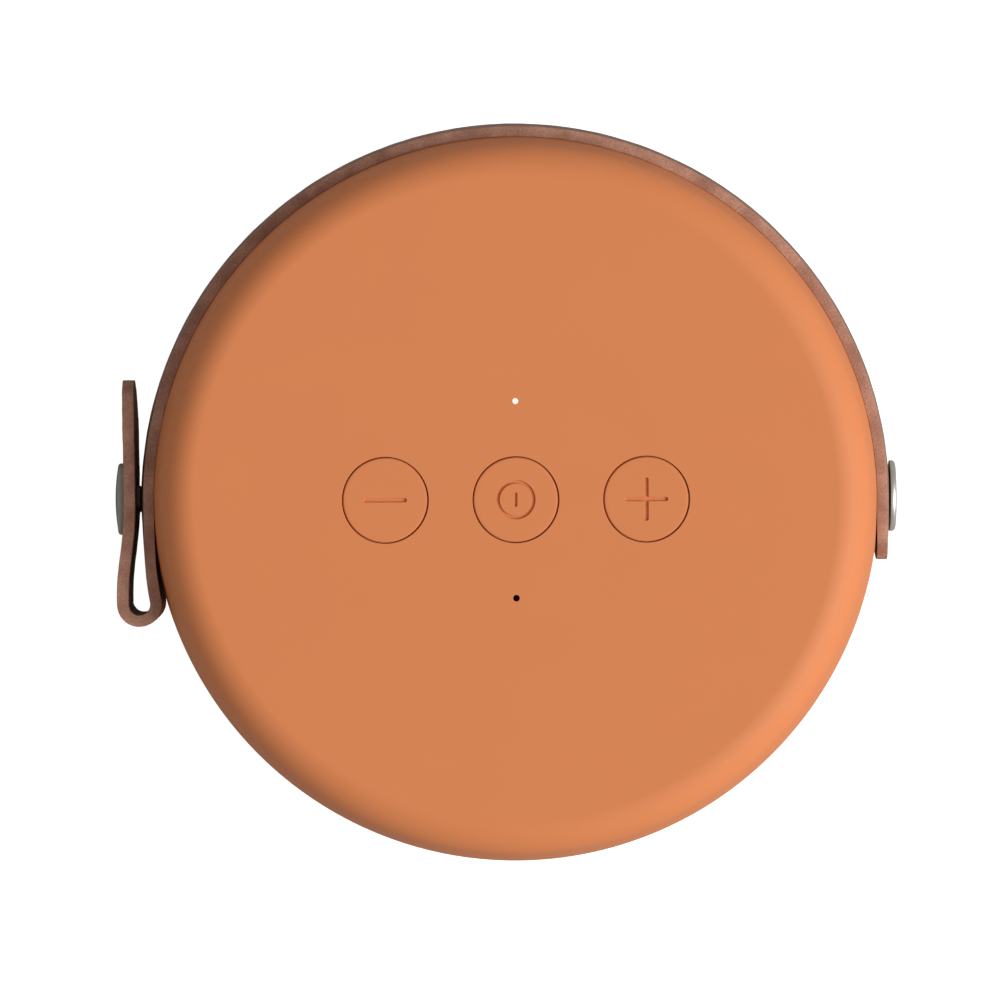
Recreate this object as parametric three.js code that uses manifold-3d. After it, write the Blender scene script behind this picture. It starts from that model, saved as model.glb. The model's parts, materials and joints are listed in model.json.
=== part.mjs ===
// A portable round bluetooth speaker: a flat puck with three buttons on its control face, a cloth
// grille on the other side, and a leather strap round half of its rim.
//
// Units are millimetres. The origin is the middle of the grille side, the face the speaker lies on.
// +Z points out of the control face, +Y to the middle of the strap, +X to the riveted strap end.
import * as THREE from 'three';
import { mergeVertices } from 'three/addons/utils/BufferGeometryUtils.js';
import Module from 'manifold-3d';

const wasm = await Module();
wasm.setup();

const RIGHT_ANGLE = Math.PI / 2;
const radians = THREE.MathUtils.degToRad;

// ------------------------------------------------------------------ driving dimensions

// The body is a slice of a ball: its rim bulges, so that the strap can swing round it.
const BODY_RADIUS = 65;
const BODY_DEPTH = 42;
const FLAT_RADIUS = 56.8; // of the flat part of both faces
const WALL = 2.2;
const SEAM_Z = 9.5; // where the rear ring meets the control shell
const SEAM_GAP = 0.3;
const MID = BODY_DEPTH / 2;
const FACE_INSIDE = BODY_DEPTH - WALL;

// The rounded edge touches the flat face and the ball, which sets its radius.
const EDGE_RADIUS = (BODY_RADIUS ** 2 - FLAT_RADIUS ** 2 - MID ** 2) / (2 * (BODY_RADIUS - MID));
const EDGE_CENTRE = MID - EDGE_RADIUS; // height of its centre above mid depth
const EDGE_START = Math.atan2(EDGE_CENTRE, FLAT_RADIUS);

// Controls: three caps in a row, with a lamp above and a microphone below the middle one.
const BUTTON_PITCH = 23;
const BUTTON_RADIUS = 7.4;
const BUTTON_GAP = 0.3;
const FLANGE_RADIUS = 8.8;
const PLUNGER_RADIUS = 1.3;
const ICON_DEPTH = 0.35;
const ICON_LENGTH = 7.4;
const ICON_WIDTH = 0.7;
const POWER_RING = { outer: 3.45, inner: 2.85, bar: 2.4, barWidth: 0.5 };
const DOT_OFFSET = 17.35; // lamp and microphone, from the middle cap

// Heights of the stack under the control face.
const STACK = {
  board: [34.6, 35.8],
  switchBody: [35.9, 37.2],
  switchTop: 37.4,
  plunger: 37.9,
  flange: [38.2, 39],
  damper: [39.2, 39.6],
};

// Posts and screws. The case screws come in from the grille side.
const POST_OFFSET = 40.3;
const POST_RADIUS = 3.2;
const BURIED = 0.5; // how far a post runs into the wall it stands on
const PILOT = { case: 1.05, board: 0.85 }; // radii of the screw holes in the posts
const LEDGE = { inner: 57.5, z: [12, 14] };
const BOARD_POST = { x: 30, y: 19, radius: 2.4 };
const SCREWS = {
  case: { shaft: 0.9, head: 2.5, headHeight: 1.6, z: [6.2, 19] },
  control: { shaft: 0.65, head: 2, headHeight: 1.2, z: [33.2, 38.8] },
  main: { shaft: 0.65, head: 2, headHeight: 1.1, z: [0, 6] },
};
const SCREW_HOLE = { case: 1.6, control: 1.4, main: 1.2 }; // radii, through the fastened piece
const STUD_BOSS = { radius: 4, inner: 56.9, bore: 2.45, bolt: 1.75, shoulder: 62.4 };
const LAMP_HOLE = 0.8;
const MIC_HOLE = 0.55;

// Grille side, from the cloth inwards.
const GRILLE_RADIUS = 54;
const GRILLE_OPENING = 54.3;
const CLOTH = [0, 0.65];
const PLATE = [0.8, 1.8];
const PLATE_SEAT = [1.85, 3.4];
const BAFFLE = { radius: 61, z: [8, 10.3] };
const BAFFLE_GASKET = [58.9, 60.9, [10.45, 11.8]];

// Driver and passive radiator. A ring is given by its radii and heights, a turned piece by its
// profile of [radius, height] points.
const DRIVER = {
  x: -26,
  hole: 22.3,
  gasket: [22.7, 25.2, [7.4, 7.9]],
  surround: [18.95, 21.1, 6.6, 0.5],
  coil: [6.8, 7.4, [12.9, 24.5]],
  topPlate: [7.9, 15.5, [19.8, 22.8]],
  magnet: [9.5, 16, [23, 29]],
  basket: [
    [21.4, 5.9], [25.5, 5.9], [25.5, 7.3], [21.9, 7.3], [21.9, 13], [15.5, 19.6], [9, 19.6],
    [9, 18.4], [14.9, 18.4], [20.7, 12.6], [20.7, 7], [21.4, 6.6],
  ],
  basketWindow: { halfWidth: 6, reach: [11, 25], z: [12.5, 17.6] },
  cone: [[7.6, 13], [18.7, 7.3], [18.7, 7.9], [7.6, 13.6]],
  yoke: [[0, 19.8], [6.3, 19.8], [6.3, 29.2], [15.5, 29.2], [15.5, 32.2], [0, 32.2]],
};
const RADIATOR = {
  x: 27,
  hole: 19.8,
  frame: [19.5, 24, [5.9, 7.8]],
  surround: [15.3, 19.2, 6.8, 0.6],
  plate: [15, [6.4, 7.6]],
  weight: [8, [7.7, 10.7]],
};

const BATTERY = { radius: 9.1, length: 65, y: 39, z: 24, terminal: 3 };
const CRADLE = { halfLength: 28, behind: 10, front: 9.4, clearance: 0.3, lip: 2 };
const MAIN_BOARD = { halfWidth: 19, y: [-57, -33], z: [17.6, 19.2] };
const MAIN_POST = { x: 15, y: -38, radius: 2.4 };
const USB = { width: 8.94, height: 3.16, y: [-64, -56.7], clearance: 0.32, wall: 0.3 };
const USB_TONGUE = { halfWidth: 3.35, halfHeight: 0.35 };
const MODULE = { x: [-14, -3], y: [-51.5, -42.5], height: 2 };
const AMPLIFIER = { x: [4, 11], y: [-51, -44], height: 1.1 };

// Small pieces on the control board.
const SWITCH = { halfWidth: 2.6, knob: 1.3 };
const LED = { halfLength: 0.8, halfWidth: 0.6, z: [35.9, 36.6] };
const LIGHT_PIPE = { foot: 1.2, collar: 2, collarZ: [38.8, 39.5], lens: 0.55, low: 37 };
const MICROPHONE = { halfLength: 1.9, halfWidth: 1.5, z: [35.9, 37] };
const MIC_GASKET = [0.9, 2.4, [37.2, 39.6]];

// Leather strap: it follows the ball over the upper rim, runs straight past the right stud and
// turns back up in a loop past the left one.
const STRAP_WIDTH = 20;
const STRAP_THICKNESS = 1.7; // where the leather is pulled tight round the rim
const FOLD_THICKNESS = 2.05; // in the loop and the flap
const STRAP_GAP = 0.2;
const STRAP_IN = BODY_RADIUS + STRAP_GAP;
const STRAP_OUT = STRAP_IN + STRAP_THICKNESS;
const STRAP_TAIL = 11.4; // right end, below the stud
const TAIL_BEND = 0.003; // how fast the tail curves in, per millimetre below the stud
const LEAVE_ANGLE = radians(5); // past the left stud, where the strap starts to leave the rim
const LOOP_ANGLE = radians(15.5); // past the left stud, where the loop starts
const LOOP_RADIUS = 2.95; // of the middle of the leather
const LOOP_DISTANCE = 69.4; // of the middle of the loop from the middle of the body
const LOOP_SPLIT = radians(2.7); // half the slit between strap and flap, at the loop's lowest point
const FLAP_X = -68.6; // middle of the leather, beside the stud
const FLAP_STRAIGHT_Y = -3.5; // where the flap becomes straight
const FLAP_TIP_Y = 21.3;
const STRAP_CORNER = STRAP_WIDTH / 2 - 0.01; // both ends are half round
const STRAP_HOLE = 2;
const SOCKET_HOLE = 3.9;

const LOOP_CENTRE = new THREE.Vector2(
  -LOOP_DISTANCE * Math.cos(LOOP_ANGLE),
  -LOOP_DISTANCE * Math.sin(LOOP_ANGLE),
);

// Smoothness: sides on the large, medium and small round pieces.
const LARGE = 48;
const MEDIUM = 24;
const SMALL = 12;

// ------------------------------------------------------------------ finishes

const FINISHES = {
  softTouch: { color: 0xd58354, roughness: 0.72, metalness: 0 },
  leather: { color: 0x8a6450, roughness: 0.7, metalness: 0 },
  satinMetal: { color: 0x8a8a80, roughness: 0.35, metalness: 1 },
  cloth: { color: 0x7d4a33, roughness: 0.95, metalness: 0 },
  blackPlastic: { color: 0x1c1c1e, roughness: 0.6, metalness: 0 },
  steel: { color: 0xa8abb0, roughness: 0.35, metalness: 1 },
  brass: { color: 0xb8924a, roughness: 0.35, metalness: 1 },
  rubber: { color: 0x26262a, roughness: 0.85, metalness: 0 },
  board: { color: 0x14502e, roughness: 0.5, metalness: 0 },
  ferrite: { color: 0x35363a, roughness: 0.7, metalness: 0.2 },
  copper: { color: 0xb8703a, roughness: 0.35, metalness: 1 },
  paper: { color: 0x2a2a2c, roughness: 0.9, metalness: 0 },
  spider: { color: 0xb08a4a, roughness: 0.9, metalness: 0 },
  clear: { color: 0xf4f2ee, roughness: 0.2, metalness: 0 },
  battery: { color: 0x2c5a8c, roughness: 0.4, metalness: 0 },
  ribbon: { color: 0xb4752c, roughness: 0.5, metalness: 0 },
  wire: { color: 0x8c1f1c, roughness: 0.55, metalness: 0 },
};

// ------------------------------------------------------------------ building blocks

const WELD = 1e-4;

// The closed solid of a three.js geometry, for joining and cutting.
function toSolid(geometry) {
  const bare = new THREE.BufferGeometry();
  bare.setAttribute('position', geometry.getAttribute('position'));
  bare.setIndex(geometry.index);
  const welded = mergeVertices(bare, WELD);
  const corners = Array.from(welded.index.array);
  const triangles = [];
  for (let i = 0; i < corners.length; i += 3) {
    const [a, b, c] = corners.slice(i, i + 3);
    if (a !== b && b !== c && c !== a) triangles.push(a, b, c);
  }
  const vertProperties = welded.getAttribute('position').array;
  const triVerts = Uint32Array.from(triangles);
  return new wasm.Manifold(new wasm.Mesh({ numProp: 3, vertProperties, triVerts }));
}

function toGeometry(solid) {
  const mesh = solid.getMesh();
  const geometry = new THREE.BufferGeometry();
  geometry.setAttribute('position', new THREE.BufferAttribute(mesh.vertProperties, 3));
  geometry.setIndex(new THREE.BufferAttribute(mesh.triVerts, 1));
  return geometry;
}

function join(...pieces) {
  return toGeometry(pieces.map(toSolid).reduce((whole, piece) => whole.add(piece)));
}

function cut(base, ...tools) {
  return toGeometry(tools.map(toSolid).reduce((rest, tool) => rest.subtract(tool), toSolid(base)));
}

function common(a, b) {
  return toGeometry(toSolid(a).intersect(toSolid(b)));
}

function steps(from, to, count) {
  return Array.from({ length: count + 1 }, (_, i) => from + ((to - from) * i) / count);
}

// A body turned about Z, from [radius, height] pairs that start and end on the axis or form a ring.
function turned(profile, sides = MEDIUM) {
  const points = profile.map(([r, z]) => new THREE.Vector2(r, z));
  if (THREE.ShapeUtils.isClockWise(points)) points.reverse();
  const solidCore = points[0].x === 0 && points.at(-1).x === 0;
  if (!solidCore) points.push(points[0].clone());
  const lathe = new THREE.LatheGeometry(points, sides).rotateX(RIGHT_ANGLE);
  return toGeometry(toSolid(lathe));
}

function ring(inner, outer, [low, high], sides = MEDIUM) {
  return turned([[inner, low], [outer, low], [outer, high], [inner, high]], sides);
}

function disc(radius, [low, high], sides = MEDIUM) {
  return turned([[0, low], [radius, low], [radius, high], [0, high]], sides);
}

function block([x0, x1], [y0, y1], [z0, z1]) {
  const box = new THREE.BoxGeometry(x1 - x0, y1 - y0, z1 - z0);
  return box.translate((x0 + x1) / 2, (y0 + y1) / 2, (z0 + z1) / 2);
}

function extruded(shape, [low, high], curveSegments = SMALL) {
  const settings = { depth: high - low, bevelEnabled: false, curveSegments };
  return new THREE.ExtrudeGeometry(shape, settings).translate(0, 0, low);
}

function at(geometry, x, y, z = 0) {
  return geometry.clone().translate(x, y, z);
}

// Lays a turned body along X: its height becomes the distance from the middle of the speaker.
function sideways(geometry, side) {
  return geometry.clone().rotateY(side * RIGHT_ANGLE).translate(0, 0, MID);
}

function roundedRectangle(halfWidth, halfHeight, radius) {
  const shape = new THREE.Shape();
  shape.absarc(halfWidth - radius, halfHeight - radius, radius, 0, RIGHT_ANGLE);
  shape.absarc(radius - halfWidth, halfHeight - radius, radius, RIGHT_ANGLE, Math.PI);
  shape.absarc(radius - halfWidth, radius - halfHeight, radius, Math.PI, 3 * RIGHT_ANGLE);
  shape.absarc(halfWidth - radius, radius - halfHeight, radius, 3 * RIGHT_ANGLE, 4 * RIGHT_ANGLE);
  return shape;
}

// A closed outline round a middle line. The thickness is one number, or one for each point.
function thickened(line, thickness) {
  const side = (sign) => line.map((point, i) => {
    const before = line[Math.max(i - 1, 0)];
    const after = line[Math.min(i + 1, line.length - 1)];
    const along = after.clone().sub(before).normalize();
    const here = Array.isArray(thickness) ? thickness[i] : thickness;
    return point.clone().add(new THREE.Vector2(-along.y, along.x).multiplyScalar((sign * here) / 2));
  });
  return new THREE.Shape([...side(1), ...side(-1).reverse()]);
}

function wire(points, radius, stretches) {
  const route = new THREE.CatmullRomCurve3(points.map((p) => new THREE.Vector3(...p)));
  const section = new THREE.Shape().absarc(0, 0, radius, 0, 2 * Math.PI);
  const settings = { steps: stretches, extrudePath: route, curveSegments: 3 };
  return toGeometry(toSolid(new THREE.ExtrudeGeometry(section, settings)));
}

const speaker = new THREE.Group();

function add(name, finish, geometry) {
  const mesh = new THREE.Mesh(geometry, new THREE.MeshStandardMaterial(FINISHES[finish]));
  mesh.name = name;
  speaker.add(mesh);
  return mesh;
}

// ------------------------------------------------------------------ shells

// The skin from a height on the rim to the flat face on one side (+1 control, -1 grille).
function skin(inset, startZ, side) {
  const ball = BODY_RADIUS - inset;
  const edge = EDGE_RADIUS - inset;
  const start = Math.asin((startZ - MID) / ball);
  const rim = side > 0
    ? [...steps(start, 0, 2), ...steps(0, EDGE_START, 3).slice(1)]
    : steps(start, -EDGE_START, 1);
  const corner = steps(side * EDGE_START, side * RIGHT_ANGLE, 4).slice(1);
  return [
    ...rim.map((a) => [ball * Math.cos(a), MID + ball * Math.sin(a)]),
    ...corner.map((a) => [
      FLAT_RADIUS + edge * Math.cos(a),
      MID + side * EDGE_CENTRE + edge * Math.sin(a),
    ]),
  ];
}

function fourCorners(x, y) {
  return [[x, y], [-x, y], [-x, -y], [x, -y]];
}

function usbOutline(grow) {
  const halfHeight = USB.height / 2 + grow;
  return roundedRectangle(USB.width / 2 + grow, halfHeight, halfHeight - 0.01);
}

// Stands an outline drawn in width and height up, and pushes it along Y at mid depth.
function throughRim(shape, [y0, y1]) {
  return extruded(shape, [-y1, -y0], 4).rotateX(RIGHT_ANGLE).translate(0, 0, MID);
}

function controlShell() {
  const cup = turned([
    [0, FACE_INSIDE],
    ...skin(WALL, SEAM_Z, 1).reverse(),
    ...skin(0, SEAM_Z, 1),
    [0, BODY_DEPTH],
  ], LARGE);
  const ledge = ring(LEDGE.inner, BODY_RADIUS - WALL + 0.4, LEDGE.z, LARGE);
  const post = disc(POST_RADIUS, [LEDGE.z[0], FACE_INSIDE + BURIED], SMALL);
  const boardPost = disc(BOARD_POST.radius, [STACK.board[1] + 0.2, FACE_INSIDE + BURIED], SMALL);
  const studBoss = disc(STUD_BOSS.radius, [STUD_BOSS.inner, BODY_RADIUS - 3 * BURIED], SMALL);
  const additions = [
    ledge,
    ...fourCorners(POST_OFFSET, POST_OFFSET).map(([x, y]) => at(post, x, y)),
    ...fourCorners(BOARD_POST.x, BOARD_POST.y).map(([x, y]) => at(boardPost, x, y)),
    sideways(studBoss, 1),
    sideways(studBoss, -1),
  ];

  const face = [FACE_INSIDE - 1, BODY_DEPTH + 1];
  const buttonHole = disc(BUTTON_RADIUS + BUTTON_GAP, face, MEDIUM);
  const pilot = disc(PILOT.case, [LEDGE.z[0] - 1, 24], 8);
  const boardPilot = disc(PILOT.board, [STACK.board[1] - 1, FACE_INSIDE - 0.4], 8);
  const { inner, bore, bolt, shoulder } = STUD_BOSS;
  const studBore = join(
    disc(bore, [inner - 1, shoulder], SMALL),
    disc(bolt, [shoulder - 0.4, BODY_RADIUS + 2], SMALL),
  );
  const openings = [
    ...[-1, 0, 1].map((i) => at(buttonHole, i * BUTTON_PITCH, 0)),
    at(disc(LAMP_HOLE, face, SMALL), 0, DOT_OFFSET),
    at(disc(MIC_HOLE, face, SMALL), 0, -DOT_OFFSET),
    ...fourCorners(POST_OFFSET, POST_OFFSET).map(([x, y]) => at(pilot, x, y)),
    ...fourCorners(BOARD_POST.x, BOARD_POST.y).map(([x, y]) => at(boardPilot, x, y)),
    sideways(studBore, 1),
    sideways(studBore, -1),
    throughRim(usbOutline(USB.clearance), [-68, -58]),
  ];
  return cut(join(cup, ...additions), ...openings);
}

function rearRing() {
  const top = SEAM_Z - SEAM_GAP;
  const inside = skin(WALL, top, -1).filter(([, z]) => z > PLATE_SEAT[1]);
  return turned([
    [GRILLE_OPENING, 0],
    ...skin(0, top, -1).reverse(),
    ...inside,
    [FLAT_RADIUS + 2.9, PLATE_SEAT[1]],
    [GRILLE_RADIUS - 2, PLATE_SEAT[1]],
    [GRILLE_RADIUS - 2, PLATE_SEAT[0]],
    [GRILLE_OPENING, PLATE_SEAT[0]],
  ], LARGE);
}

function baffle() {
  const through = [BAFFLE.z[0] - 1, BAFFLE.z[1] + 1];
  const post = disc(MAIN_POST.radius, [BAFFLE.z[1] - 0.5, MAIN_BOARD.z[0] - 0.2], SMALL);
  const pilot = disc(PILOT.board, [MAIN_BOARD.z[0] - 5, MAIN_BOARD.z[0] + 1], 8);
  const screwHole = disc(SCREW_HOLE.case, through, SMALL);
  const posts = [-1, 1].map((side) => at(post, side * MAIN_POST.x, MAIN_POST.y));
  return cut(
    join(disc(BAFFLE.radius, BAFFLE.z, LARGE), ...posts),
    at(disc(DRIVER.hole, through), DRIVER.x, 0),
    at(disc(RADIATOR.hole, through), RADIATOR.x, 0),
    ...fourCorners(POST_OFFSET, POST_OFFSET).map(([x, y]) => at(screwHole, x, y)),
    ...[-1, 1].map((side) => at(pilot, side * MAIN_POST.x, MAIN_POST.y)),
  );
}

// A round plate with rings of six-sided holes, six more in each ring than in the one inside it.
function grillePlate() {
  const ringPitch = 15;
  const ringCount = 3;
  const holeRadius = 4.7;
  const hole = disc(holeRadius, [PLATE[0] - 1, PLATE[1] + 1], 6);
  const holes = [hole];
  for (let ringNumber = 1; ringNumber <= ringCount; ringNumber += 1) {
    const count = 6 * ringNumber;
    for (let i = 0; i < count; i += 1) {
      const angle = (2 * Math.PI * i) / count;
      const reach = ringNumber * ringPitch;
      holes.push(at(hole, reach * Math.cos(angle), reach * Math.sin(angle)));
    }
  }
  return cut(disc(GRILLE_RADIUS - 0.1, PLATE, LARGE), ...holes);
}

add('control_shell', 'softTouch', controlShell());
add('rear_ring', 'softTouch', rearRing());
add('baffle', 'blackPlastic', baffle());
add('baffle_gasket', 'rubber', ring(...BAFFLE_GASKET, 36));
add('grille_cloth', 'cloth', disc(GRILLE_RADIUS, CLOTH, LARGE));
add('grille_plate', 'steel', grillePlate());

// A pan-head screw on its own axis, its head at the low end.
function screw({ shaft, head, headHeight, z: [low, high] }) {
  return turned([
    [0, low], [head, low], [head, low + headHeight],
    [shaft, low + headHeight], [shaft, high - shaft], [0, high],
  ], 10);
}

fourCorners(POST_OFFSET, POST_OFFSET).forEach(([x, y], i) => {
  add(`case_screw_${i + 1}`, 'steel', at(screw(SCREWS.case), x, y));
});

// ------------------------------------------------------------------ controls

function capBlank() {
  return turned([
    [0, STACK.plunger], [PLUNGER_RADIUS, STACK.plunger], [PLUNGER_RADIUS, STACK.flange[0]],
    [FLANGE_RADIUS, STACK.flange[0]], [FLANGE_RADIUS, STACK.flange[1]],
    [BUTTON_RADIUS, STACK.flange[1]], [BUTTON_RADIUS, BODY_DEPTH], [0, BODY_DEPTH],
  ]);
}

const ENGRAVED = [BODY_DEPTH - ICON_DEPTH, BODY_DEPTH + 1];

function stroke(length, width) {
  return extruded(roundedRectangle(length / 2, width / 2, width / 2 - 0.01), ENGRAVED, 3);
}

const ICONS = {
  button_minus: [stroke(ICON_LENGTH, ICON_WIDTH)],
  button_power: [
    ring(POWER_RING.inner, POWER_RING.outer, ENGRAVED, 24),
    stroke(POWER_RING.bar, POWER_RING.barWidth).rotateZ(RIGHT_ANGLE),
  ],
  button_plus: [
    stroke(ICON_LENGTH, ICON_WIDTH),
    stroke(ICON_LENGTH, ICON_WIDTH).rotateZ(RIGHT_ANGLE),
  ],
};

function switchBlock() {
  const { halfWidth, knob } = SWITCH;
  const body = block([-halfWidth, halfWidth], [-halfWidth, halfWidth], STACK.switchBody);
  return join(body, disc(knob, [STACK.switchBody[0] + BURIED, STACK.switchTop], SMALL));
}

Object.entries(ICONS).forEach(([name, grooves], i) => {
  const x = (i - 1) * BUTTON_PITCH;
  add(name, 'softTouch', at(cut(capBlank(), ...grooves), x, 0));
  add(name.replace('button', 'switch'), 'blackPlastic', at(switchBlock(), x, 0));
});

function withHoles(shape, holes) {
  holes.forEach(([x, y, radius]) => {
    shape.holes.push(new THREE.Path().absarc(x, y, radius, 0, 2 * Math.PI));
  });
  return shape;
}

const capHoles = [-1, 0, 1].map((i) => [i * BUTTON_PITCH, 0, BUTTON_RADIUS + 0.5]);
const damperSheet = withHoles(roundedRectangle(33, 10, 4), capHoles);
add('button_damper', 'rubber', extruded(damperSheet, STACK.damper, 6));

const boardScrewHoles = fourCorners(BOARD_POST.x, BOARD_POST.y)
  .map(([x, y]) => [x, y, SCREW_HOLE.control]);
const controlBoard = withHoles(roundedRectangle(34, 23, 3), boardScrewHoles);
add('control_board', 'board', extruded(controlBoard, STACK.board, 4));
fourCorners(BOARD_POST.x, BOARD_POST.y).forEach(([x, y], i) => {
  add(`control_board_screw_${i + 1}`, 'steel', at(screw(SCREWS.control), x, y));
});

// A small flat block on the board, a distance from the middle cap.
function onBoard({ halfLength, halfWidth, z }, y) {
  return block([-halfLength, halfLength], [y - halfWidth, y + halfWidth], z);
}

function lightPipe() {
  const { foot, collar, collarZ, lens, low } = LIGHT_PIPE;
  return turned([
    [0, low], [foot, low], [foot, collarZ[0]], [collar, collarZ[0]], [collar, collarZ[1]],
    [lens, collarZ[1]], [lens, BODY_DEPTH], [0, BODY_DEPTH],
  ], SMALL);
}

add('status_led', 'clear', onBoard(LED, DOT_OFFSET));
add('light_pipe', 'clear', at(lightPipe(), 0, DOT_OFFSET));
add('microphone', 'steel', onBoard(MICROPHONE, -DOT_OFFSET));
add('mic_gasket', 'rubber', at(ring(...MIC_GASKET, SMALL), 0, -DOT_OFFSET));

// ------------------------------------------------------------------ electronics

function usbPort() {
  const { halfWidth, halfHeight } = USB_TONGUE;
  const tongue = block([-halfWidth, halfWidth], USB.y, [MID - halfHeight, MID + halfHeight]);
  const pocket = cut(throughRim(usbOutline(-USB.wall), [USB.y[0] - 1, USB.y[1] - 1]), tongue);
  return cut(throughRim(usbOutline(0), USB.y), pocket);
}

function mainBoard() {
  const { halfWidth, y, z } = MAIN_BOARD;
  const hole = disc(SCREW_HOLE.main, [z[0] - 1, z[1] + 1], SMALL);
  const holes = [-1, 1].map((side) => at(hole, side * MAIN_POST.x, MAIN_POST.y));
  return cut(block([-halfWidth, halfWidth], y, z), ...holes);
}

function onMainBoard({ x, y, height }) {
  const foot = MAIN_BOARD.z[1] + 0.15;
  return block(x, y, [foot, foot + height]);
}

add('main_board', 'board', mainBoard());
[-1, 1].forEach((side, i) => {
  const turnedOver = screw(SCREWS.main).rotateX(Math.PI);
  add(`main_board_screw_${i + 1}`, 'steel', at(turnedOver, side * MAIN_POST.x, MAIN_POST.y, 20.5));
});
add('usb_port', 'steel', usbPort());
add('bluetooth_module', 'steel', onMainBoard(MODULE));
add('amplifier_chip', 'blackPlastic', onMainBoard(AMPLIFIER));

function batteryCell() {
  const half = BATTERY.length / 2;
  const cell = turned([
    [0, -half], [BATTERY.radius - 0.6, -half], [BATTERY.radius, 0.6 - half],
    [BATTERY.radius, half - 1.6], [BATTERY.radius - 0.6, half - 1],
    [BATTERY.terminal, half - 1], [BATTERY.terminal, half], [0, half],
  ]);
  return cell.rotateY(RIGHT_ANGLE).translate(0, BATTERY.y, BATTERY.z);
}

function batteryCradle() {
  const { halfLength, behind, front, clearance, lip } = CRADLE;
  const reach = halfLength + 1;
  const trough = disc(BATTERY.radius + clearance, [-reach, reach]).rotateY(RIGHT_ANGLE);
  const base = block(
    [-halfLength, halfLength],
    [BATTERY.y - behind, BATTERY.y + front],
    [BAFFLE.z[1] + 0.2, BATTERY.z - lip],
  );
  return cut(base, at(trough, 0, BATTERY.y, BATTERY.z));
}

add('battery_cell', 'battery', batteryCell());
add('battery_cradle', 'blackPlastic', batteryCradle());

// ------------------------------------------------------------------ driver and radiator

function driverBasket() {
  const { halfWidth, reach, z } = DRIVER.basketWindow;
  const pan = turned(DRIVER.basket);
  const window = block([-halfWidth, halfWidth], reach, z);
  const windows = [45, 135, 225, 315].map((angle) => window.clone().rotateZ(radians(angle)));
  return cut(pan, ...windows);
}

// A half-round roll of soft rubber that bulges towards the grille.
function roll(inner, outer, z, thickness) {
  const middle = (inner + outer) / 2;
  const radius = (outer - inner) / 2;
  const arc = (r) => steps(Math.PI, 2 * Math.PI, 4).map((a) => [
    middle + r * Math.cos(a),
    z + r * Math.sin(a),
  ]);
  return turned([...arc(radius), ...arc(radius - thickness).reverse()]);
}

// A shallow dish of even thickness, deepest in the middle.
function dustCap() {
  const radius = 7.2;
  const depth = 2.2;
  const thickness = 0.4;
  const dish = (low) => steps(0, radius, 4).map((r) => [r, low + depth * (r / radius) ** 2]);
  return turned([...dish(10.2), ...dish(10.2 + thickness).reverse()]);
}

// Flat rings of treated cloth that carry the cone's neck: a zigzag of even thickness.
function spider() {
  const [inner, outer, low] = [7.8, 16.2, 16.2];
  const [wave, thickness, folds] = [0.5, 0.5, 4];
  const zigzag = (lift) => steps(inner, outer, folds).map((r, i) => [r, low + lift + wave * (i % 2)]);
  return turned([...zigzag(0), ...zigzag(thickness).reverse()]);
}

const driverParts = {
  driver_gasket: ['rubber', ring(...DRIVER.gasket)],
  driver_basket: ['steel', driverBasket()],
  driver_surround: ['rubber', roll(...DRIVER.surround)],
  driver_cone: ['paper', turned(DRIVER.cone)],
  dust_cap: ['paper', dustCap()],
  voice_coil: ['copper', ring(...DRIVER.coil)],
  driver_spider: ['spider', spider()],
  driver_top_plate: ['steel', ring(...DRIVER.topPlate)],
  driver_magnet: ['ferrite', ring(...DRIVER.magnet)],
  driver_yoke: ['steel', turned(DRIVER.yoke)],
};
Object.entries(driverParts).forEach(([name, [finish, geometry]]) => {
  add(name, finish, at(geometry, DRIVER.x, 0));
});

const radiatorParts = {
  radiator_frame: ['blackPlastic', ring(...RADIATOR.frame)],
  radiator_surround: ['rubber', roll(...RADIATOR.surround)],
  radiator_plate: ['paper', disc(...RADIATOR.plate)],
  radiator_weight: ['steel', disc(...RADIATOR.weight)],
};
Object.entries(radiatorParts).forEach(([name, [finish, geometry]]) => {
  add(name, finish, at(geometry, RADIATOR.x, 0));
});

// ------------------------------------------------------------------ wiring

const WIRE_RADIUS = 0.8;

const ribbonLine = new THREE.SplineCurve([
  new THREE.Vector2(-20, 34.3),
  new THREE.Vector2(-27, 33.2),
  new THREE.Vector2(-32, 28),
  new THREE.Vector2(-34, 22),
  new THREE.Vector2(-37, 19.75),
  new THREE.Vector2(-40, 19.6),
]).getPoints(12);
const ribbon = extruded(thickened(ribbonLine, 0.3), [3, 10]);
// The outline is drawn in Y and Z, so its depth is turned to lie along X.
const ribbonTurn = new THREE.Matrix4().makeBasis(
  new THREE.Vector3(0, 1, 0),
  new THREE.Vector3(0, 0, 1),
  new THREE.Vector3(1, 0, 0),
);
add('control_ribbon', 'ribbon', ribbon.applyMatrix4(ribbonTurn));
add('battery_leads', 'wire', wire([
  [-34, 39, 26], [-35, 32, 30], [-46, 14, 27], [-49, 0, 26], [-45, -16, 25],
  [-34, -31, 23], [-18, -36.5, 20.9],
], WIRE_RADIUS, 16));
add('driver_leads', 'wire', wire([
  [-20, -20, 17], [-17, -24, 19], [-13, -30, 22], [-9, -36, 20.6],
], WIRE_RADIUS, 8));

// ------------------------------------------------------------------ strap and studs

const STRAP_Z = [MID - STRAP_WIDTH / 2, MID + STRAP_WIDTH / 2];
const OVERLAP = radians(1); // shared by neighbouring lengths of the strap, so that they join

// The strap's cross-section where it follows the rim, cupped like the ball.
function cuppedSection() {
  const arc = (radius) => {
    const reach = Math.asin(STRAP_WIDTH / 2 / radius);
    return steps(-reach, reach, 4).map((a) => [radius * Math.cos(a), MID + radius * Math.sin(a)]);
  };
  return [...arc(STRAP_OUT), ...arc(STRAP_IN).reverse()];
}

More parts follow.
